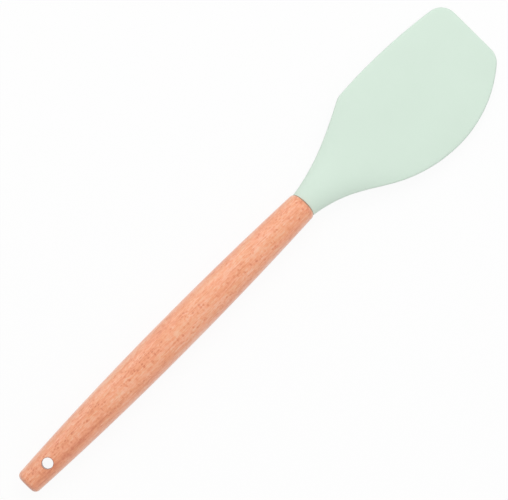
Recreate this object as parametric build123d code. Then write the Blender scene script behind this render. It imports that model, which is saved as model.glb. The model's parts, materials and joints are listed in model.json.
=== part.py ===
from build123d import *
import os
from math import sqrt

# Silicone spatula: a turned beech handle, a moulded silicone head, and the steel core that joins them.
# Millimetres. While the pieces are made, X runs from the butt of the handle to the blade's tip, Y points
# to the blade's straight side, Z is up out of the blade's face, and the handle's axis is the X axis.

# Handle, turned from one dowel. Its places are measured from the butt.
handle_length = 205.7
butt_diameter = 13.5
belly_diameter = 20.0
belly_place = 109.0
collar_diameter = 15.7
butt_round = 3.0
butt_dome = 0.2
collar_round = 4.0
hole_diameter = 6.0
hole_place = 16.0
hole_easing = 0.35

# Head outline, seen from above. Its places are measured from the wood's end, its widths from the axis.
head_length = 124.3
neck_inset = 0.25
neck_flare_share = 0.13
waist_place = 16.6
waist_straight_side = 11.6
waist_curved_side = 12.45
shoulder_place = 50.3
shoulder_width = 26.5
shoulder_slope_share = 0.51
shoulder_round = 8.0
straight_side_place = 70.0
straight_side_width = 27.3
hip_place = 38.0
hip_width = 24.6
curved_side_place = 77.8
curved_side_width = 35.6
tip_straight_side = 22.8
tip_curved_side = 16.7
tip_round = 9.6

# Head thickness, front to back. The neck thins to the blade over a run from the wood's end, and its
# face follows a curve of the fourth degree, in shares of its reach to each side.
neck_thickness = 10.6
neck_run = 62.0
blade_thickness = 3.8
tip_thickness = 2.8
rim_thickness = 2.4
rim_round_share = 0.4
crown_reach_share = 1.3
neck_squareness_share = 0.35
station_shares = (0, 0.065, 0.125, 0.185, 0.25, 0.315, 0.38, 0.445, 0.52, 0.63, 0.76, 0.88, 1)
across_shares = (-1, -1 / 2, 0, 1 / 2, 1)
second_power_shares = (1, 0, -1 / 3, 0, 1)
fourth_power_shares = (1, -1, 1, -1, 1)

# Steel core: a sheet in the blade, with its tongue welded in a step on the end of a rod
sheet_thickness = 1.0
sheet_margin = 7.5
sheet_front_margin = 14.0
sheet_corner_round = 5.0
tongue_width = 8.0
keying_hole_diameter = 6.0
keying_hole_place = 60.0
keying_hole_rows = 4
keying_hole_columns = 3
rod_diameter = 5.0
rod_in_wood = 55.0
rod_in_neck = 26.0
lap_length = 16.0

# Bore in the wood for the rod and its adhesive
glue_gap = 0.25
bore_end_room = 3.0

# How far cuts run past what they cut
overrun = 5.0

# Worked out from the sizes above
overall_length = handle_length + head_length
belly_radius = belly_diameter / 2
collar_radius = collar_diameter / 2
rod_radius = rod_diameter / 2
neck_root = handle_length - collar_round
rim_round = rim_round_share * rim_thickness
tip_drop = belly_radius - tip_thickness / 2
bow_radius = (head_length**2 + tip_drop**2) / (2 * tip_drop)
bore_radius = rod_radius + glue_gap
bore_depth = rod_in_wood + bore_end_room
blade_middle = (straight_side_width - curved_side_width) / 2
side_reach = crown_reach_share * (straight_side_width + curved_side_width)
shoulder = (handle_length + shoulder_place, shoulder_width)
hip = (handle_length + hip_place, -hip_width)
tip_straight = (overall_length, tip_straight_side)
tip_curved = (overall_length, -tip_curved_side)
sheet_front = overall_length - sheet_front_margin
rod_front = handle_length + rod_in_neck
lap_start = rod_front - lap_length


def turned_handle():
    """The outside of the handle, before it is drilled."""
    butt_edge = (butt_dome, butt_diameter / 2)
    belly = (belly_place, belly_radius)
    collar_edge = (handle_length, collar_radius)
    profile = make_face(
        TangentArc((0, 0), butt_edge, tangent=(0, 1))
        + TangentArc(belly, butt_edge, tangent=(-1, 0))
        + TangentArc(belly, collar_edge, tangent=(1, 0))
        + Polyline(collar_edge, (handle_length, 0), (0, 0))
    )
    for corner, radius in ((butt_edge, butt_round), (collar_edge, collar_round)):
        profile = fillet(profile.vertices().sort_by_distance(corner)[0], radius)
    return revolve(profile, Axis.X)


def with_hanging_hole(handle):
    """The handle with the hanging hole drilled up through it, and both mouths of the hole eased."""
    drilled = handle - Pos(hole_place, 0, 0) * Cylinder(hole_diameter / 2, belly_diameter + overrun)
    wall = drilled.faces().filter_by(GeomType.CYLINDER)[0]
    mouths = [edge for edge in wall.edges() if edge.geom_type != GeomType.LINE]
    return fillet(mouths, hole_easing)


def along_x(radius, start, end):
    """A round bar on the handle's axis."""
    return Pos((start + end) / 2, 0, 0) * Rot(0, 90, 0) * Cylinder(radius, end - start)


def bowed_height(x, lift=0):
    """Height at x of an arc that lies lift above the head's middle surface, which bows down to the tip."""
    run = max(x - handle_length, 0)
    return sqrt((bow_radius + lift) ** 2 - run**2) - bow_radius


def bowed_arc(start, end, lift):
    """That arc between two places, drawn with X across and height up."""
    return ThreePointArc(*[(x, bowed_height(x, lift)) for x in (start, (start + end) / 2, end)])


def blade_sides():
    """The blade's edge seen from above, as sharp-cornered curves from the shoulder by the tip to the hip."""
    straight_side = (handle_length + straight_side_place, straight_side_width)
    curved_side = (handle_length + curved_side_place, -curved_side_width)
    return [
        TangentArc(straight_side, shoulder, tangent=(-1, 0)),
        TangentArc(straight_side, tip_straight, tangent=(1, 0)),
        Line(tip_straight, tip_curved),
        TangentArc(curved_side, tip_curved, tangent=(1, 0)),
        TangentArc(curved_side, hip, tangent=(-1, 0)),
    ]


def head_outline():
    """The head seen from above, with the blade's three corners rounded."""
    root = collar_radius - neck_inset - neck_flare_share * collar_round
    waist = handle_length + waist_place
    blade = blade_sides()
    straight_neck = Spline(
        (neck_root, root),
        (waist, waist_straight_side),
        shoulder,
        tangents=((1, neck_flare_share), (1, shoulder_slope_share)),
    )
    curved_neck = Spline(
        hip,
        (waist, -waist_curved_side),
        (neck_root, -root),
        tangents=(blade[-1] % 1, (-1, neck_flare_share)),
    )
    root_line = Line((neck_root, -root), (neck_root, root))
    outline = make_face([straight_neck, *blade, curved_neck, root_line])
    for corner, radius in ((shoulder, shoulder_round), (tip_straight, tip_round), (tip_curved, tip_round)):
        outline = fillet(outline.vertices().sort_by_distance(corner)[0], radius)
    return outline


def eased(share):
    """0 to 1 with a level start and end."""
    held = min(max(share, 0), 1)
    return held * held * (3 - 2 * held)


def ends_across(outline, x):
    """The lowest and the highest Y of an outline at x."""
    chord = (Line((x, -side_reach), (x, side_reach)) & outline).edges()[0]
    return sorted(vertex.Y for vertex in chord.vertices())


def outside_face(outline, x, side):
    """The region of the cross-section at x that lies outside the head's face: side 1 above, -1 below.

    In the neck the face's line is near an ellipse, and over the blade it is flat in the middle and
    falls at the rim. It follows the outline's width, and runs past the outline by its reach.
    """
    low_y, high_y = ends_across(outline, min(max(x, handle_length), overall_length - tip_round))
    middle = (low_y + high_y) / 2
    reach = crown_reach_share * (high_y - low_y) / 2
    run = x - handle_length
    to_blade = eased(run / neck_run)
    to_tip = eased((run - curved_side_place) / (head_length - curved_side_place))
    thickness = neck_thickness + (blade_thickness - neck_thickness) * to_blade
    thickness = thickness + (tip_thickness - blade_thickness) * to_tip
    fall = (thickness - rim_thickness) / 2
    squareness = neck_squareness_share + (1 - neck_squareness_share) * to_blade
    second_fall = (1 - squareness) * fall * crown_reach_share**2
    fourth_fall = squareness * fall * crown_reach_share**4
    poles = []
    for across, second, fourth in zip(across_shares, second_power_shares, fourth_power_shares):
        rise = thickness / 2 - second_fall * second - fourth_fall * fourth
        poles.append((middle + reach * across, bowed_height(x) + side * rise))
    far = side * side_reach
    back = Polyline(poles[-1], (poles[-1][0], far), (poles[0][0], far), poles[0])
    plane = Plane(origin=(x, 0, 0), x_dir=(0, 1, 0), z_dir=(1, 0, 0))
    return plane * make_face(Bezier(*poles) + back)


def head_blank(outline):
    """The whole head without its core, before it meets the wood."""
    blank = extrude(outline, amount=side_reach / 2, both=True)
    start = neck_root - overrun
    span = overall_length + overrun - start
    for side in (1, -1):
        blank -= loft([outside_face(outline, start + span * share, side) for share in station_shares])
    root_edges = blank.faces().sort_by(Axis.X)[0].edges()
    rims = blank.edges() - blank.edges().filter_by(Axis.Z) - root_edges
    return fillet(rims, rim_round)


def core_sheet():
    """The core sheet: the blade's edge set in, a tongue down the neck, and rows of keying holes."""
    throat = (handle_length + waist_place, 0)
    whole = make_face([*blade_sides(), Line(hip, throat), Line(throat, shoulder)])
    blade = offset(whole, -sheet_margin)
    blade &= Pos(sheet_front - head_length / 2, 0) * Rectangle(head_length, 2 * side_reach)
    front_corners = blade.vertices().group_by(Axis.X)[-1]
    first_row = handle_length + keying_hole_place
    row_pitch = (sheet_front - keying_hole_diameter - first_row) / (keying_hole_rows - 1)
    flat = fillet(front_corners, sheet_corner_round)
    flat += Pos((lap_start + first_row) / 2, 0) * Rectangle(first_row - lap_start, tongue_width)
    for row in range(keying_hole_rows):
        hole_x = first_row + row * row_pitch
        low_y, high_y = ends_across(blade, hole_x)
        for column in range(1, keying_hole_columns + 1):
            hole_y = low_y + (high_y - low_y) * column / (keying_hole_columns + 1)
            flat -= Pos(hole_x, hole_y) * Circle(keying_hole_diameter / 2)
    top = bowed_arc(lap_start, sheet_front, sheet_thickness / 2)
    bottom = bowed_arc(lap_start, sheet_front, -sheet_thickness / 2)
    band = make_face(top + Line(top @ 1, bottom @ 1) + bottom + Line(bottom @ 0, top @ 0))
    upright = extrude(flat, amount=side_reach, both=True)
    return upright & extrude(Plane.XZ * band, amount=side_reach, both=True)


def tang_rod():
    """The rod, with a step along its front end that the sheet's tongue lies against."""
    rod = along_x(rod_radius, handle_length - rod_in_wood, rod_front)
    past = rod_front + overrun
    seat = bowed_arc(lap_start, past, sheet_thickness / 2)
    below = make_face(seat + Polyline(seat @ 1, (past, -rod_diameter), (lap_start, -rod_diameter), seat @ 0))
    return rod - extrude(Plane.XZ * below, amount=rod_diameter, both=True)


handle_blank = turned_handle()
bore = along_x(bore_radius, handle_length - bore_depth, handle_length)
sheet = core_sheet()
rod = tang_rod()
pieces = {
    "handle": with_hanging_hole(handle_blank) - bore,
    "silicone_head": head_blank(head_outline()) - handle_blank - sheet - rod,
    "core_sheet": sheet,
    "tang_rod": rod,
    "tang_adhesive": bore - rod,
}

# The frame: X and Y from the middle of the whole spatula, Z from the surface that it lies on.
frame_place = Pos(-overall_length / 2, -blade_middle, belly_radius)
os.makedirs("parts", exist_ok=True)
for name, piece in pieces.items():
    export_step(frame_place * piece, f"parts/{name}.step")
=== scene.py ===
import json
import math
from bisect import bisect_right

import bmesh
import bpy
from bpy.props import FloatProperty, FloatVectorProperty, IntProperty, PointerProperty
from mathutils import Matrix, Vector
from mathutils.bvhtree import BVHTree


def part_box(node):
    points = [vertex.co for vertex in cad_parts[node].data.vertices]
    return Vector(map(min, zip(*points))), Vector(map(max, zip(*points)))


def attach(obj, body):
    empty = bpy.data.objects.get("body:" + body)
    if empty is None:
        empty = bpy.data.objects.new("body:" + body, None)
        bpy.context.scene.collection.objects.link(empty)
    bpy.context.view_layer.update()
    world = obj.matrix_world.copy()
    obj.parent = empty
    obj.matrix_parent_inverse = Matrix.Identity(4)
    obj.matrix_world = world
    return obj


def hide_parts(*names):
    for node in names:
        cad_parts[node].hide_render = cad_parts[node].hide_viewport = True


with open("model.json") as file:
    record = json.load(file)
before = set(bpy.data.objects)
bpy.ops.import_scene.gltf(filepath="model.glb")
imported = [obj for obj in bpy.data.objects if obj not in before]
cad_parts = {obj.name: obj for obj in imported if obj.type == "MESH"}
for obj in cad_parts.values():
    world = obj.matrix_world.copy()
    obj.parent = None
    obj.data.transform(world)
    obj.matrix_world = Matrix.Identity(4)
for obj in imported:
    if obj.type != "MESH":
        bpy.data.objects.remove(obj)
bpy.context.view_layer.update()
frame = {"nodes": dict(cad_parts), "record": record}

bl_info = {
    "name": "Silicone spatula",
    "version": (1, 0, 0),
    "blender": (4, 5, 0),
    "location": "View3D > Sidebar > Spatula",
    "description": "Finishes the spatula's handle, head, core and adhesive, and sets its studio",
    "category": "Object",
}

MM = 0.001

# In metres, a length past all of the spatula, and a gap under which two points are one
FAR = 1
TOUCHING = 0.001 * MM

# The handle's two ends and its hanging hole, as the CAD has them
BUTT, WOOD_END = (corner.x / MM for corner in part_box("handle"))
HOLE = frame["record"]["mounts"][0]

# Where each shade of the wood begins and where it is full, in millimetres along the handle
BUTT_SHADE = BUTT + 95, BUTT
RING_SHADE = BUTT + 75, BUTT + 40
# The head's and the seam's shades are painted shade where the wood meets the silicone
HEAD_SHADE = WOOD_END - 6.7, WOOD_END
SEAM_SHADE = WOOD_END - 1.1, WOOD_END - 0.1

# The late ring's distance from the hole's line, and its soft edge, in millimetres
RING_OFFSET = 4.3
RING_EDGE = 2.4, 0.4

# How far past its edge the hole darkens the wood, in millimetres
HOLE_FADE = 0.35

# Slope of the grain across the handle, in radians
GRAIN_SLOPE = 0.012


class Wire:
    """An output socket of a node tree. Arithmetic on wires adds Math nodes to the tree."""

    def __init__(self, nodes, socket):
        self.nodes = nodes
        self.socket = socket

    def __add__(self, other):
        return self.nodes.math("ADD", self, other)

    def __radd__(self, other):
        return self.nodes.math("ADD", other, self)

    def __sub__(self, other):
        return self.nodes.math("SUBTRACT", self, other)

    def __rsub__(self, other):
        return self.nodes.math("SUBTRACT", other, self)

    def __mul__(self, other):
        return self.nodes.math("MULTIPLY", self, other)

    def __rmul__(self, other):
        return self.nodes.math("MULTIPLY", other, self)

    def __truediv__(self, other):
        return self.nodes.math("DIVIDE", self, other)

    def __rtruediv__(self, other):
        return self.nodes.math("DIVIDE", other, self)

    def __pow__(self, other):
        return self.nodes.math("POWER", self, other)

    def __rpow__(self, other):
        return self.nodes.math("POWER", other, self)


class Nodes:
    """The node tree of one material or of the world."""

    def __init__(self, owner):
        owner.use_nodes = True
        self.tree = owner.node_tree
        self.tree.nodes.clear()

    def node(self, kind, settings=None, inputs=None, output=0):
        """Adds a node, sets it, then gives its sockets values or links. It wraps one output."""
        made = self.tree.nodes.new(kind)
        for name, value in (settings or {}).items():
            if name == "stops":
                self.set_stops(made.color_ramp, value)
            else:
                setattr(made, name, value)
        for key, value in (inputs or {}).items():
            socket = self.find(made.inputs, key)
            if isinstance(value, Wire):
                self.tree.links.new(value.socket, socket)
            else:
                socket.default_value = value
        return Wire(self, self.find(made.outputs, output)) if made.outputs else None

    @staticmethod
    def find(sockets, key):
        """A socket by its place, its name or, where several share a name, its identifier."""
        if isinstance(key, int):
            return sockets[key]
        return next(socket for socket in sockets if key in (socket.identifier, socket.name))

    @staticmethod
    def set_stops(ramp, stops):
        """Gives a colour ramp its stops, each a place and a colour."""
        while len(ramp.elements) < len(stops):
            ramp.elements.new(1)
        for element, (place, colour) in zip(ramp.elements, stops):
            element.position = place
            element.color = colour

    def math(self, operation, *values):
        return self.node("ShaderNodeMath", {"operation": operation}, dict(enumerate(values)))

    def distance(self, first, second):
        """How far a place is from an axis, from its two distances across that axis."""
        return self.math("SQRT", first**2 + second**2)

    def mix(self, factor, first, second, blend="MIX"):
        """A colour that goes from first to second as factor goes from 0 to 1."""
        return self.node(
            "ShaderNodeMix",
            {"data_type": "RGBA", "blend_type": blend},
            {"Factor_Float": factor, "A_Color": first, "B_Color": second},
            "Result_Color",
        )

    def step(self, value, low, high):
        """0 below low, 1 above high and eased between them. It falls where low is above high."""
        return self.node(
            "ShaderNodeMapRange",
            {"interpolation_type": "SMOOTHSTEP"},
            {"Value": value, "From Min": low, "From Max": high},
        )

    def noise(self, place, along, across, detail=2, roughness=0.5):
        """Noise about 0, with these scales along X and across it."""
        stretched = self.node(
            "ShaderNodeVectorMath",
            {"operation": "MULTIPLY"},
            {0: place, 1: (along, across, across)},
        )
        return self.node(
            "ShaderNodeTexNoise",
            inputs={"Vector": stretched, "Scale": 1, "Detail": detail, "Roughness": roughness},
        ) - 0.5

    def millimetres(self, turn=(0, 0, 0)):
        """The object's own coordinates in millimetres, turned for a pattern."""
        place = self.node("ShaderNodeTexCoord", output="Object")
        return self.node(
            "ShaderNodeMapping",
            {"vector_type": "POINT"},
            {"Vector": place, "Rotation": turn, "Scale": (1 / MM,) * 3},
        )

    def parts(self, vector):
        """The three numbers of a vector."""
        return [
            self.node("ShaderNodeSeparateXYZ", inputs={0: vector}, output=axis) for axis in "XYZ"
        ]

    def bump(self, height, distance, strength):
        """Normals tilted by a relief as high as distance."""
        relief = {"Strength": strength, "Distance": distance, "Height": height}
        return self.node("ShaderNodeBump", inputs=relief)

    def finish(self, **sockets):
        """Ends a material in one surface. Words in a socket's name are joined by an underscore."""
        inputs = {name.replace("_", " "): value for name, value in sockets.items()}
        self.end(self.node("ShaderNodeBsdfPrincipled", inputs=inputs))

    def end(self, shader, surface="ShaderNodeOutputMaterial"):
        self.node(surface, inputs={"Surface": shader})


def opaque(colour):
    """A colour with the fourth number that a colour socket has."""
    return (*colour, 1)


def new_finish(name):
    """A material with an empty node tree, and that tree."""
    material = bpy.data.materials.new(name)
    return material, Nodes(material)


def put_on(node_name, material):
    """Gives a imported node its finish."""
    piece = frame["nodes"][node_name]
    piece.data.materials.clear()
    piece.data.materials.append(material)


class BeechProperties(bpy.types.PropertyGroup):
    pale: FloatVectorProperty(
        name="Pale wood",
        description="Colour of the palest early wood",
        subtype="COLOR",
        default=(0.95, 0.523, 0.348),
    )
    middle: FloatVectorProperty(
        name="Wood",
        description="Colour of most of the wood",
        subtype="COLOR",
        default=(0.915, 0.366, 0.195),
    )
    deep: FloatVectorProperty(
        name="Deep wood",
        description="Colour of the late wood and the flecks",
        subtype="COLOR",
        default=(0.7, 0.21, 0.099),
    )
    tint: FloatVectorProperty(
        name="Tint",
        description="Colour that tints some patches of the wood",
        subtype="COLOR",
        default=(0.95, 0.93, 0.8),
    )
    # The colour that the wood darkens towards at the butt, in its end grain and on the hole's wall
    dark_and_shade: FloatVectorProperty(
        name="Darkened wood",
        description="Colour that the butt, its end grain and the hole's wall tend to",
        subtype="COLOR",
        default=(0.3, 0.17, 0.12),
    )
    ring_width: FloatProperty(
        name="Ring width",
        description="One year's growth",
        unit="LENGTH",
        default=2.6 * MM,
    )
    pith_distance: FloatProperty(
        name="Pith distance",
        description="From the handle to the middle of the tree",
        unit="LENGTH",
        default=85 * MM,
    )
    cut_angle: FloatProperty(
        name="Cut angle",
        description="Turn of the growth rings about the handle",
        subtype="ANGLE",
        default=math.radians(-10),
    )
    fleck_length: FloatProperty(
        name="Fleck length",
        description="Height of a ray along the grain",
        unit="LENGTH",
        default=1.7 * MM,
    )
    fleck_width: FloatProperty(
        name="Fleck width",
        description="Thickness of a ray",
        unit="LENGTH",
        default=0.36 * MM,
    )
    fleck_reach: FloatProperty(
        name="Fleck reach",
        description="How far a ray runs out from the pith",
        unit="LENGTH",
        default=3 * MM,
    )
    hole_place: FloatVectorProperty(
        name="Hole place",
        description="Where the hanging hole goes through",
        unit="LENGTH",
        size=2,
        default=HOLE["pos_m"][:2],
    )
    hole_radius: FloatProperty(
        name="Hole radius",
        description="Radius that the hole's darker wall fills",
        unit="LENGTH",
        default=(HOLE["dims"]["r_mm"] + 0.15) * MM,
    )


class SiliconeProperties(bpy.types.PropertyGroup):
    colour: FloatVectorProperty(
        name="Silicone",
        description="Colour of the moulding",
        subtype="COLOR",
        default=(0.665, 0.8, 0.695),
    )
    # Painted shade: the lip that meets the wood is darkened towards this colour, which darkens the
    # seam
    dark_and_shade: FloatVectorProperty(
        name="Darkened lip",
        description="Colour that oil from the wood gives the lip beside it",
        subtype="COLOR",
        default=(0.3, 0.27, 0.17),
    )
    roughness: FloatProperty(
        name="Roughness",
        description="Roughness of the mould's satin texture",
        subtype="FACTOR",
        default=0.5,
    )


class HeadProperties(bpy.types.PropertyGroup):
    rim_round: FloatProperty(
        name="Rim round",
        description="Radius of the rim's two rounds",
        unit="LENGTH",
        default=0.96 * MM,
    )
    rim_flat: FloatProperty(
        name="Rim flat",
        description="Upright part of the rim between its rounds",
        unit="LENGTH",
        default=0.48 * MM,
    )
    parting_height: FloatProperty(
        name="Parting height",
        description="How far the mould's parting line stands out",
        unit="LENGTH",
        default=0.1 * MM,
    )
    parting_width: FloatProperty(
        name="Parting width",
        description="Width of the mould's parting line",
        unit="LENGTH",
        default=0.3 * MM,
    )
    lip_round: FloatProperty(
        name="Lip round",
        description="Radius of the lip that meets the wood",
        unit="LENGTH",
        default=0.45 * MM,
    )
    rows: IntProperty(
        name="Rows", description="Divisions of each face along the head", default=84
    )
    columns: IntProperty(
        name="Columns", description="Divisions of each face across the head", default=36
    )
    round_steps: IntProperty(
        name="Round steps", description="Divisions of each round of the rim", default=5
    )
    lip_steps: IntProperty(name="Lip steps", description="Divisions of the lip's round", default=4)
    smoothing: IntProperty(
        name="Smoothing", description="How often each face is smoothed", default=3
    )


class StudioProperties(bpy.types.PropertyGroup):
    photo_span: FloatProperty(
        name="Photo span",
        description="Width that the photograph takes in",
        unit="LENGTH",
        default=262.97 * MM,
    )
    camera_distance: FloatProperty(
        name="Camera distance",
        description="From the camera down to the handle's axis",
        unit="LENGTH",
        default=4.2,
    )
    camera_turn: FloatProperty(
        name="Camera turn",
        description="Angle of the handle in the photograph",
        subtype="ANGLE",
        default=math.radians(45.28),
    )
    camera_place: FloatVectorProperty(
        name="Camera place",
        description="Camera's place from the middle of the handle's axis line",
        unit="LENGTH",
        size=2,
        default=(4.44 * MM, 1.74 * MM),
    )
    floor_size: FloatProperty(
        name="Floor size",
        description="Side of the pale floor",
        unit="LENGTH",
        default=12,
    )
    floor_white: FloatProperty(
        name="Floor white",
        description="Share of plain white in what the camera sees of the floor",
        subtype="FACTOR",
        default=0.92,
    )
    sky: FloatProperty(name="Sky", description="Strength of the even light all round", default=0.7)
    key_power: FloatProperty(
        name="Key light", description="Power of the soft light", unit="POWER", default=6.2
    )
    key_place: FloatVectorProperty(
        name="Key place",
        description="Where the soft light stands, beyond the blade's tip on its straight side",
        unit="LENGTH",
        default=(0.6, 0.42, 1.05),
    )
    key_size: FloatVectorProperty(
        name="Key size",
        description="Width and height of the soft light",
        unit="LENGTH",
        size=2,
        default=(1.2, 1),
    )
    side_power: FloatProperty(
        name="Side light",
        description="Power of the light that only reflections see",
        unit="POWER",
        default=3.8,
    )
    side_place: FloatVectorProperty(
        name="Side place",
        description="Where the low light stands, on the blade's straight side",
        unit="LENGTH",
        default=(0, 1.3, 0.5),
    )
    side_size: FloatVectorProperty(
        name="Side size",
        description="Width and height of the low light",
        unit="LENGTH",
        size=2,
        default=(1.6, 0.6),
    )


class SPATULA_OT_handle(bpy.types.Operator):
    """Gives the turned handle its oiled beech"""

    bl_idname = "spatula.handle"
    bl_label = "Beech handle"

    def execute(self, context):
        material, nodes = new_finish("oiled_beech")
        beech(nodes, context.scene.spatula_beech)
        put_on("handle", material)
        return {"FINISHED"}


def beech(nodes, wood):
    """Beech: growth rings, fibres and rays as solid figure, so any cut shows the right one."""
    grain = nodes.millimetres(turn=(wood.cut_angle, 0, GRAIN_SLOPE))
    along, radial, across = nodes.parts(grain)
    end_x, side_y, _ = nodes.parts(nodes.millimetres())
    facing_x, facing_y, _ = nodes.parts(nodes.node("ShaderNodeTexCoord", output="Normal"))
    drift = nodes.noise(grain, along=0.02, across=0.1)

    # Growth rings about the pith
    from_pith = nodes.distance(radial + wood.pith_distance / MM, across)
    late = nodes.math("FRACT", (from_pith + drift * 3) / (wood.ring_width / MM)) ** 3

    # Fibres, long and fine, blotches a few millimetres long, and slow clouds of colour
    fibre = nodes.noise(grain, along=0.12, across=2.6, detail=3, roughness=0.65)
    blotch = nodes.noise(grain, along=0.38, across=0.8, detail=4, roughness=0.65)
    cloud = nodes.noise(grain, along=0.025, across=0.14)

    # Rays and pores gather in patches, and show most on the quartered top and underside
    ray = rays(nodes, wood, along, radial, across + drift * 2)
    pore = nodes.step(nodes.noise(grain, along=0.55, across=4.2), 0.1, 0.25)
    patch = nodes.step(nodes.noise(grain, along=0.06, across=0.2), -0.1, 0.1)
    quartered = nodes.step(nodes.math("ABSOLUTE", facing_y), 0.95, 0.5)
    fleck = (ray * 0.38 + pore * 0.36) * (0.3 + patch * 1.1) * (0.4 + quartered * 0.6)

    # Darker towards the butt, end grain that takes more oil, and painted shade by the head and in the
    # seam
    butt = nodes.step(end_x, *BUTT_SHADE)
    shade_by_head = nodes.step(end_x, *HEAD_SHADE) * (0.5 + blotch * 1.5)
    seam = nodes.step(end_x, *SEAM_SHADE)
    end_grain = nodes.step(facing_x, -0.45, -0.9)

    # The hanging hole's wall, and one late ring beside it, laid bare where the butt tapers
    hole_x = end_x - wood.hole_place[0] / MM
    hole_y = side_y - wood.hole_place[1] / MM
    wall = wood.hole_radius / MM
    hole = nodes.step(nodes.distance(hole_x, hole_y), wall + HOLE_FADE, wall)
    off_ring = nodes.math("ABSOLUTE", hole_y + RING_OFFSET + drift * 4)
    ring = nodes.step(off_ring, *RING_EDGE) * nodes.step(end_x, *RING_SHADE)

    # Colour, from pale through middle to deep as the tone goes from 0.1 to 1
    tone = 0.4 + late * 0.16 + fibre * 1.1 + blotch * 1.25 + cloud * 0.8 + fleck + ring * 0.28
    # The head's end and the seam add painted shade where the wood meets the silicone
    tone = tone + butt * 0.02 + shade_by_head * 0.3 + hole * 0.5 + end_grain * 0.25 + seam * 0.25
    stops = [(0.1, opaque(wood.pale)), (0.5, opaque(wood.middle)), (1, opaque(wood.deep))]
    colour = nodes.node("ShaderNodeValToRGB", {"stops": stops}, {0: tone})
    tinted = nodes.step(nodes.noise(grain, along=0.11, across=0.35), -0.15, 0.15)
    colour = nodes.mix(tinted * 0.55, colour, opaque(wood.tint), "MULTIPLY")
    # Darker towards the butt, in the end grain and on the hole's wall and round its mouth
    dark_and_shade = butt * 0.05 + hole * 0.3 + end_grain * 0.25
    nodes.finish(
        Base_Color=nodes.mix(dark_and_shade, colour, opaque(wood.dark_and_shade)),
        Roughness=0.5 + fibre * 0.2 - ray * 0.08,
        Coat_Weight=0.6,
        Coat_Roughness=0.25,
        Sheen_Weight=0.5,
        Sheen_Roughness=0.45,
        Normal=nodes.bump(fibre * 0.6 - ray * 0.3 - pore * 0.6, 0.05 * MM, 0.6),
    )


def rays(nodes, wood, along, radial, across):
    """Rays: thin blades that stand out from the pith, edge on at the sides and flat on top."""
    blades = nodes.node(
        "ShaderNodeCombineXYZ",
        inputs={
            0: along / (wood.fleck_length / MM),
            1: radial / (wood.fleck_reach / MM),
            2: across / (wood.fleck_width / MM),
        },
    )
    from_middle, blade_colour = (
        nodes.node("ShaderNodeTexVoronoi", inputs={"Vector": blades, "Scale": 1}, output=output)
        for output in ("Distance", "Color")
    )
    chance = nodes.node("ShaderNodeSeparateColor", inputs={0: blade_colour})
    return nodes.step(from_middle, 0.6, 0.25) * nodes.step(chance, 0.2, 0.9)


class SPATULA_OT_head(bpy.types.Operator):
    """Makes the silicone head's outside, with its parting line and its lip at the wood"""

    bl_idname = "spatula.head"
    bl_label = "Silicone head"

    def execute(self, context):
        material, nodes = new_finish("mint_silicone")
        silicone(nodes, context.scene.spatula_silicone)
        head = Moulding(context.scene.spatula_head).make("silicone_outside")
        head.data.materials.append(material)
        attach(head, "root")
        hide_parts("silicone_head")
        return {"FINISHED"}


def merged_copy(node_name):
    """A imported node's mesh with its loose triangles joined."""
    surface = bmesh.new()
    surface.from_mesh(frame["nodes"][node_name].data)
    bmesh.ops.remove_doubles(surface, verts=surface.verts, dist=TOUCHING)
    return surface


def extrude(mesh, edges):
    """Extrudes edges where they are, and gives the new vertices and the new edges."""
    made = bmesh.ops.extrude_edge_only(mesh, edges=edges)["geom"]
    kinds = bmesh.types.BMVert, bmesh.types.BMEdge
    return [[element for element in made if isinstance(element, kind)] for kind in kinds]


def put_in_order(mesh):
    """Puts the faces in the order of their corners, because an extrusion leaves them in another
    order on each run."""
    mesh.verts.index_update()
    count = len(mesh.verts)

    def by_corners(face):
        first, second, third, *_ = sorted(vert.index for vert in face.verts)
        return (first * count + second) * count + third

    mesh.faces.sort(key=by_corners)


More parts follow.
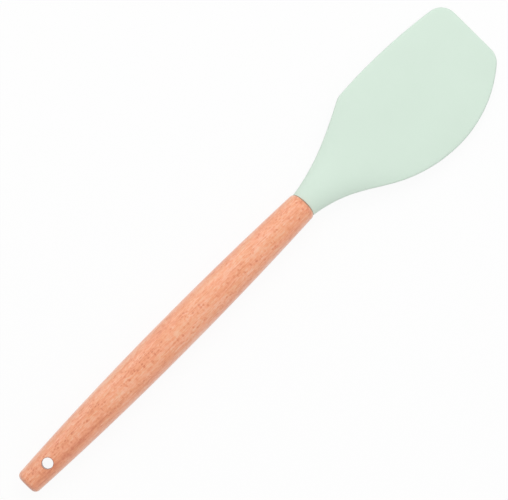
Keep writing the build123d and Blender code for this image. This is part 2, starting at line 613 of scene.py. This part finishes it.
class Outline:
    """The head's edge seen from above: a smooth line from the wood by the straight side, the tip
    and the curved side back to the wood. A run is a distance along it."""

    KNOT_SPACING = 0.6 * MM
    SEARCH_STEP = 0.1 * MM

    def __init__(self, surface, skin):
        low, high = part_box("silicone_head")
        middle = (low + high) / 2
        self.tip = high.x

        def turn_from_wood(corner):
            return -math.atan2(middle.y - corner.y, middle.x - corner.x) % math.tau

        ordered = sorted(self.wall_corners(surface, skin), key=turn_from_wood)
        self.knots, self.runs = ordered[:1], [0]
        for corner in ordered[1:]:
            step = (corner - self.knots[-1]).length
            if step > self.KNOT_SPACING:
                self.runs.append(self.runs[-1] + step)
                self.knots.append(corner)
        self.length = self.runs[-1]
        self.headings = [self.heading_at(index) for index in range(len(self.knots))]

    @staticmethod
    def wall_corners(surface, skin):
        """Corners of the head's upright rim, without the walls of the space inside for the wood."""
        just_outside, upright = 0.2 * MM, 0.01
        wood_low, wood_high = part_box("handle")
        wood_middle = (wood_low + wood_high) / 2
        corners = set()
        for face in surface.faces:
            centre = face.calc_center_median()
            inward = face.normal.y * (centre.y - wood_middle.y) < 0
            above = centre + just_outside * face.normal
            above.z = FAR
            seen = skin.ray_cast(above, Vector((0, 0, -1)))[0] is None
            on_wood = centre.x < wood_high.x and inward
            if seen and abs(face.normal.z) < upright and not on_wood:
                corners.update((vert.co.x, vert.co.y, 0) for vert in face.verts)
        return map(Vector, corners)

    def heading_at(self, index):
        """The line's direction at a knot, from the knots before and after it."""
        first, last = max(index - 1, 0), min(index + 1, len(self.knots) - 1)
        before = self.runs[index] - self.runs[first]
        after = self.runs[last] - self.runs[index]
        if not before or not after:
            return (self.knots[last] - self.knots[first]) / (before + after)
        arriving = (self.knots[index] - self.knots[first]) / before
        leaving = (self.knots[last] - self.knots[index]) / after
        return (arriving * after + leaving * before) / (before + after)

    def place(self, run, inset=0):
        """A place on the line, or set in from it."""
        index = min(bisect_right(self.runs, run, 1), len(self.knots) - 1) - 1
        step = self.runs[index + 1] - self.runs[index]
        part = (run - self.runs[index]) / step
        start, end = self.knots[index], self.knots[index + 1]
        leaving, arriving = self.headings[index] * step, self.headings[index + 1] * step
        cubic = 2 * (start - end) + leaving + arriving
        square = -3 * (start - end) - 2 * leaving - arriving
        place = ((cubic * part + square) * part + leaving) * part + start
        place.x = min(place.x, self.tip)
        heading = ((3 * cubic * part + 2 * square) * part + leaving).normalized()
        return place + inset * Vector((heading.y, -heading.x, 0))

    def run_where(self, turned):
        """The run at which the line has turned this far from the handle's direction, at the tip."""
        step = self.SEARCH_STEP
        for count in range(int(self.length / 4 / step), int(self.length * 3 / 4 / step)):
            ahead = self.place((count + 1) * step) - self.place(count * step)
            if -math.atan2(ahead.y, ahead.x) > turned and ahead.y < -abs(ahead.x) / 2:
                return count * step
        raise ValueError("the head's edge never turns at its tip")


class Moulding:
    """The head's outside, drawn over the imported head: two faces, the rim's rounds, a parting line
    and a lip."""

    # The stretch of neck in which the head meets the wood, and how finely that place is found
    NECK = 4 * MM
    HALVINGS = 20

    def __init__(self, sizes):
        self.sizes = sizes
        packed_head = merged_copy("silicone_head")
        self.skin = BVHTree.FromBMesh(packed_head)
        self.outline = Outline(packed_head, self.skin)
        packed_head.free()
        packed_handle = merged_copy("handle")
        self.wood = BVHTree.FromBMesh(packed_handle)
        packed_handle.free()
        low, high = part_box("handle")
        self.axis = (low + high) / 2
        self.wood_end = high.x
        self.corners = [self.outline.run_where(math.radians(angle)) for angle in (45, 135)]
        length = self.outline.length
        self.starts = [
            self.to_wood(self.border, self.NECK, 0),
            self.to_wood(self.border, length - self.NECK, length),
        ]

    def height(self, place, side):
        """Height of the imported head's face at a place, on its upper side, 1, or its lower side, -1.
        Where the wood has taken the silicone's place, it is the height of the handle's axis."""
        above = Vector((place.x, place.y, side * FAR))
        hit = self.skin.ray_cast(above, Vector((0, 0, -side)))[0]
        return hit.z if hit else self.axis.z

    def on_face(self, place, side):
        """A place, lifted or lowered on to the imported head's face."""
        return Vector((place.x, place.y, self.height(place, side)))

    def border(self, run, side=1):
        """The edge of a face, where the rim's round begins."""
        return self.on_face(self.outline.place(run, self.sizes.rim_round), side)

    def wood_front(self, place):
        """How far the wood reaches along X at this place's Y and Z."""
        return self.wood.ray_cast(Vector((FAR, place.y, place.z)), Vector((-1, 0, 0)))[0].x

    def to_wood(self, line, clear, past):
        """The value at which a line along the neck lies one lip in front of the wood, between one
        where it is clear of the wood and one where it is past the wood's front."""
        for _ in range(self.HALVINGS):
            half_way = (clear + past) / 2
            point = line(half_way)
            if point.x > self.wood_front(point) + self.sizes.lip_round:
                clear = half_way
            else:
                past = half_way
        return clear

    def rim_middle(self, run):
        """Height of the parting line, half way between the two faces."""
        inside = self.outline.place(run, self.sizes.rim_round)
        return (self.height(inside, 1) + self.height(inside, -1)) / 2

    def round_point(self, run, turn, side):
        """A point of the rim's round, which turns from a right angle at the face to none on the
        upright rim. Except close to that rim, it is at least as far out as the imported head."""
        sizes = self.sizes
        inset = sizes.rim_round * (1 - math.cos(turn))
        middle = self.rim_middle(run)
        rise = sizes.rim_flat / 2 + sizes.rim_round * math.sin(turn)
        if inset > sizes.rim_round / 8:
            packed = self.height(self.outline.place(run, inset), side)
            rise = max(rise, side * (packed - middle))
        drawn_in = sizes.parting_height + inset * (1 - sizes.parting_height / sizes.rim_round)
        place = self.outline.place(run, drawn_in)
        return Vector((place.x, place.y, middle + side * rise))

    def parting_point(self, run, inset, rise):
        """A point of the parting line's ridge."""
        place = self.outline.place(run, inset)
        return Vector((place.x, place.y, self.rim_middle(run) + rise))

    def make_face(self, mesh, rim_run, side):
        """One face as far as the rim's round. Its rows cross it, from the wood to the tip."""
        straight_start, curved_start = self.starts
        straight_end, curved_end = self.corners

        def straight_run(along):
            return straight_start + (straight_end - straight_start) * along

        def curved_run(along):
            return curved_start + (curved_end - curved_start) * along

        def tip_run(across):
            return curved_end + (straight_end - curved_end) * across

        def across_between(curved_place, straight_place, across):
            return self.border(curved_place, side).lerp(self.border(straight_place, side), across)

        def by_wood(across):
            start = across_between(curved_start, straight_start, across)
            height = self.height(Vector((self.wood_end, start.y, 0)), side)
            clear, past = self.wood_end + self.NECK, self.wood_end - self.NECK
            x = self.to_wood(lambda x: Vector((x, start.y, height)), clear, past)
            return Vector((x, start.y, 0))

        def patch(along, across):
            """The place between the face's four edges."""
            sides = across_between(curved_run(along), straight_run(along), across)
            ends = by_wood(across).lerp(self.border(tip_run(across), side), along)
            wood_end = across_between(curved_start, straight_start, across)
            tip_end = across_between(curved_end, straight_end, across)
            return sides + ends - wood_end.lerp(tip_end, along)

        sizes = self.sizes
        grid = bmesh.ops.create_grid(
            mesh, x_segments=sizes.rows, y_segments=sizes.columns, size=1
        )["verts"]
        inner, outer = [], set()
        for vert in grid:
            along, across = (vert.co.x + 1) / 2, (vert.co.y + 1) / 2
            vert.co = self.on_face(patch(along, across), side)
            if not vert.is_boundary:
                inner.append(vert)
            elif round(across, 3) in (0, 1):
                outer.add(vert)
                vert[rim_run] = straight_run(along) if across > 0.5 else curved_run(along)
            elif along > 0.5:
                outer.add(vert)
                vert[rim_run] = tip_run(across)
        for _ in range(sizes.smoothing):
            bmesh.ops.smooth_vert(mesh, verts=inner, factor=0.5, use_axis_z=True)
        return [edge for edge in mesh.edges if edge.is_boundary and outer.issuperset(edge.verts)]

    def extrude_rim(self, mesh, edges, rim_run, line):
        """Extrudes edges of the rim and puts each new vertex on a line along it, which ends one lip
        from the wood."""
        straight_start, curved_start = self.starts
        lip, length = self.sizes.lip_round, self.outline.length
        verts, edges = extrude(mesh, edges)
        for vert in verts:
            run = vert[rim_run]
            if run < straight_start + lip:
                run = self.to_wood(line, run + 1 * MM, 0)
            elif run > curved_start - lip:
                run = self.to_wood(line, run - 1 * MM, length)
            vert.co = line(run)
        return edges

    def make_lip(self, mesh):
        """Turns the open end in to the wood round a small lip, and closes it against the wood."""
        lip, steps = self.sizes.lip_round, self.sizes.lip_steps
        edges = [edge for edge in mesh.edges if edge.is_boundary]
        turns = [math.pi / 2 * step / steps for step in range(steps + 1)]
        for last, turn in zip(turns, turns[1:]):
            back = lip * (math.sin(turn) - math.sin(last))
            inward = lip * (math.cos(last) - math.cos(turn))
            edges = self.extrude_end(mesh, edges, back, inward)
        edges = self.extrude_end(mesh, edges, FAR, lip * 2)
        bmesh.ops.edgeloop_fill(mesh, edges=edges)

    def extrude_end(self, mesh, edges, back, inward):
        """Extrudes the end's loop back and in to the handle's axis, as far as the wood lets it."""
        verts, edges = extrude(mesh, edges)
        for vert in verts:
            # Marks the lip, which the silicone's finish darkens with painted shade
            vert[mesh.verts.layers.float["lip"]] = 1
            from_axis = Vector((0, vert.co.y - self.axis.y, vert.co.z - self.axis.z))
            vert.co -= inward * from_axis.normalized()
            vert.co.x = max(vert.co.x - back, self.wood_front(vert.co))
        return edges

    def make(self, name):
        """The head as one closed piece: both halves out to the parting line, joined, and the lip."""
        sizes = self.sizes
        mesh = bmesh.new()
        mesh.verts.layers.float.new("lip")
        rim_run = mesh.verts.layers.float.new("rim_run")
        for side in (1, -1):
            edges = self.make_face(mesh, rim_run, side)
            for share in range(sizes.round_steps - 1, -1, -1):
                turn = math.pi / 2 * share / sizes.round_steps
                edges = self.extrude_rim(
                    mesh, edges, rim_run, lambda run: self.round_point(run, turn, side)
                )
            ridge = side * sizes.parting_width / 2
            for inset, rise in ((sizes.parting_height, ridge), (0, 0)):
                edges = self.extrude_rim(
                    mesh, edges, rim_run, lambda run: self.parting_point(run, inset, rise)
                )
        bmesh.ops.remove_doubles(mesh, verts=mesh.verts, dist=TOUCHING)
        self.make_lip(mesh)
        bmesh.ops.recalc_face_normals(mesh, faces=mesh.faces)
        put_in_order(mesh)
        return new_piece(mesh, name)


def new_piece(mesh, name):
    """A finished mesh as a smooth-shaded object at the origin."""
    data = bpy.data.meshes.new(name)
    mesh.to_mesh(data)
    mesh.free()
    data.shade_smooth()
    return add_object(name, data)


def add_object(name, data):
    """A mesh, lamp or lens as an object in the scene."""
    made = bpy.data.objects.new(name, data)
    bpy.context.scene.collection.objects.link(made)
    return made


def silicone(nodes, rubber):
    """Pale silicone with the fine satin of a blasted mould, and painted shade on the lip by the wood.
    """
    place = nodes.millimetres()
    cloud = nodes.noise(place, along=0.03, across=0.03)
    satin = nodes.noise(place, along=3.5, across=3.5, roughness=0.6)
    deeper, paler = (
        opaque(channel * share for channel in rubber.colour) for share in (0.98, 1.02)
    )
    colour = nodes.mix(0.5 + cloud * 1.5, deeper, paler)
    # The lip that meets the wood takes painted shade, which darkens the seam between silicone and
    # wood
    lip = nodes.node("ShaderNodeAttribute", {"attribute_name": "lip"}, output="Fac")
    nodes.finish(
        Base_Color=nodes.mix(lip * 0.8, colour, opaque(rubber.dark_and_shade)),
        Roughness=rubber.roughness + satin * 0.12,
        Subsurface_Weight=0.15,
        Subsurface_Radius=(1, 1, 1),
        Subsurface_Scale=1.2 * MM,
        Normal=nodes.bump(satin, 0.02 * MM, 0.5),
    )


class SPATULA_OT_core(bpy.types.Operator):
    """Gives the hidden sheet and rod their mill-finished steel"""

    bl_idname = "spatula.core"
    bl_label = "Steel core"

    def execute(self, context):
        material, nodes = new_finish("mill_steel")
        steel(nodes)
        put_on("core_sheet", material)
        put_on("tang_rod", material)
        return {"FINISHED"}


def steel(nodes):
    """Stainless sheet and rod with rolling lines along the grain."""
    lines = nodes.noise(nodes.millimetres(), along=0.15, across=9, detail=3)
    nodes.finish(
        Base_Color=nodes.mix(0.5 + lines, (0.5, 0.49, 0.47, 1), (0.62, 0.61, 0.59, 1)),
        Metallic=1,
        Roughness=0.34 + lines * 0.2,
        Normal=nodes.bump(lines, 0.01 * MM, 0.3),
    )


class SPATULA_OT_adhesive(bpy.types.Operator):
    """Gives the adhesive in the handle's bore its set, slightly bubbled look"""

    bl_idname = "spatula.adhesive"
    bl_label = "Adhesive"

    def execute(self, context):
        material, nodes = new_finish("set_epoxy")
        epoxy(nodes)
        put_on("tang_adhesive", material)
        return {"FINISHED"}


def epoxy(nodes):
    """Amber epoxy with a few small bubbles."""
    place = {"Vector": nodes.millimetres(), "Scale": 1.4}
    bubble = nodes.step(nodes.node("ShaderNodeTexVoronoi", inputs=place), 0.25, 0.1)
    nodes.finish(
        Base_Color=nodes.mix(bubble, (0.72, 0.6, 0.36, 1), (0.85, 0.78, 0.6, 1)),
        Roughness=0.18 + bubble * 0.1,
        Normal=nodes.bump(bubble, 0.05 * MM, 0.5),
    )


class SPATULA_OT_studio(bpy.types.Operator):
    """Sets the pale floor, the soft light and the camera over the photograph's view"""

    bl_idname = "spatula.studio"
    bl_label = "Studio"

    def execute(self, context):
        studio = context.scene.spatula_studio
        context.scene.view_settings.view_transform = "Standard"
        make_floor(studio)
        make_sky(context.scene, studio)
        make_light("key", studio.key_size, studio.key_place, studio.key_power)
        # The low light is there for the satin reflection along the wood
        side = make_light("side", studio.side_size, studio.side_place, studio.side_power)
        side.visible_diffuse = False
        context.scene.camera = make_camera(studio)
        return {"FINISHED"}


def white_where_seen(nodes):
    """1 on rays from the camera, a mirror or glass, which see a plain white, and 0 on rays that
    light the object."""
    camera, mirror, glass = (
        nodes.node("ShaderNodeLightPath", output=f"Is {kind} Ray")
        for kind in ("Camera", "Glossy", "Transmission")
    )
    return nodes.math("MAXIMUM", nodes.math("MAXIMUM", camera, mirror), glass)


def make_floor(studio):
    """A pale floor, nearly white to the camera, that keeps a faint shadow."""
    mesh = bmesh.new()
    bmesh.ops.create_grid(mesh, x_segments=1, y_segments=1, size=studio.floor_size / 2)
    floor = new_piece(mesh, "floor")
    material, nodes = new_finish("pale_floor")
    paper = nodes.node("ShaderNodeBsdfDiffuse", inputs={"Color": (0.9, 0.9, 0.9, 1)})
    glow = nodes.node("ShaderNodeEmission", inputs={"Color": (1, 1, 1, 1), "Strength": 1})
    share = white_where_seen(nodes) * studio.floor_white
    nodes.end(nodes.node("ShaderNodeMixShader", inputs={0: share, 1: paper, 2: glow}))
    floor.data.materials.append(material)


def make_sky(scene, studio):
    """Even light from all round, which the camera sees as white."""
    scene.world = bpy.data.worlds.new("sky")
    nodes = Nodes(scene.world)
    seen = white_where_seen(nodes)
    strength = seen + (1 - seen) * studio.sky
    white = {"Color": (1, 1, 1, 1), "Strength": strength}
    nodes.end(nodes.node("ShaderNodeBackground", inputs=white), "ShaderNodeOutputWorld")


def make_light(name, size, place, power):
    """A soft rectangular light that faces the spatula and that the camera doesn't see."""
    lamp = bpy.data.lights.new(name, "AREA")
    lamp.shape = "RECTANGLE"
    lamp.size, lamp.size_y = size
    lamp.energy = power
    light = add_object(name, lamp)
    light.location = place
    light.rotation_euler = light.location.to_track_quat("Z", "Y").to_euler()
    light.visible_camera = False
    return light


def make_camera(studio):
    """A long lens straight above, turned so that the handle lies as it does in the photograph."""
    data = bpy.data.cameras.new("camera")
    data.sensor_width = 36
    data.lens = data.sensor_width * studio.camera_distance / studio.photo_span
    data.clip_end = 3 * studio.camera_distance
    camera = add_object("camera", data)
    low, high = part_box("handle")
    axis = (low + high) / 2
    x, y = studio.camera_place
    camera.location = (x, axis.y + y, axis.z + studio.camera_distance)
    camera.rotation_euler = (0, 0, -studio.camera_turn)
    return camera


class SPATULA_PT_panel(bpy.types.Panel):
    """Lists the spatula's steps and its sizes and colours"""

    bl_label = "Spatula"
    bl_idname = "SPATULA_PT_panel"
    bl_space_type = "VIEW_3D"
    bl_region_type = "UI"
    bl_category = "Spatula"

    def draw(self, context):
        for operator in OPERATORS:
            self.layout.operator(operator.bl_idname)
        for group in GROUPS:
            values = getattr(context.scene, group)
            column = self.layout.column(align=True)
            for name in values.bl_rna.properties.keys():
                if name not in ("name", "rna_type"):
                    column.prop(values, name)


OPERATORS = (
    SPATULA_OT_handle,
    SPATULA_OT_head,
    SPATULA_OT_core,
    SPATULA_OT_adhesive,
    SPATULA_OT_studio,
)
GROUPS = {
    "spatula_beech": BeechProperties,
    "spatula_silicone": SiliconeProperties,
    "spatula_head": HeadProperties,
    "spatula_studio": StudioProperties,
}


def register():
    for made in (*GROUPS.values(), *OPERATORS, SPATULA_PT_panel):
        bpy.utils.register_class(made)
    for name, group in GROUPS.items():
        setattr(bpy.types.Scene, name, PointerProperty(type=group))


def unregister():
    for name in GROUPS:
        delattr(bpy.types.Scene, name)
    for made in (SPATULA_PT_panel, *reversed(OPERATORS), *GROUPS.values()):
        bpy.utils.unregister_class(made)


def main():
    """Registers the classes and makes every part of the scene."""
    register()
    for operator in OPERATORS:
        group, name = operator.bl_idname.split(".")
        getattr(getattr(bpy.ops, group), name)()


if __name__ == "__main__":
    main()
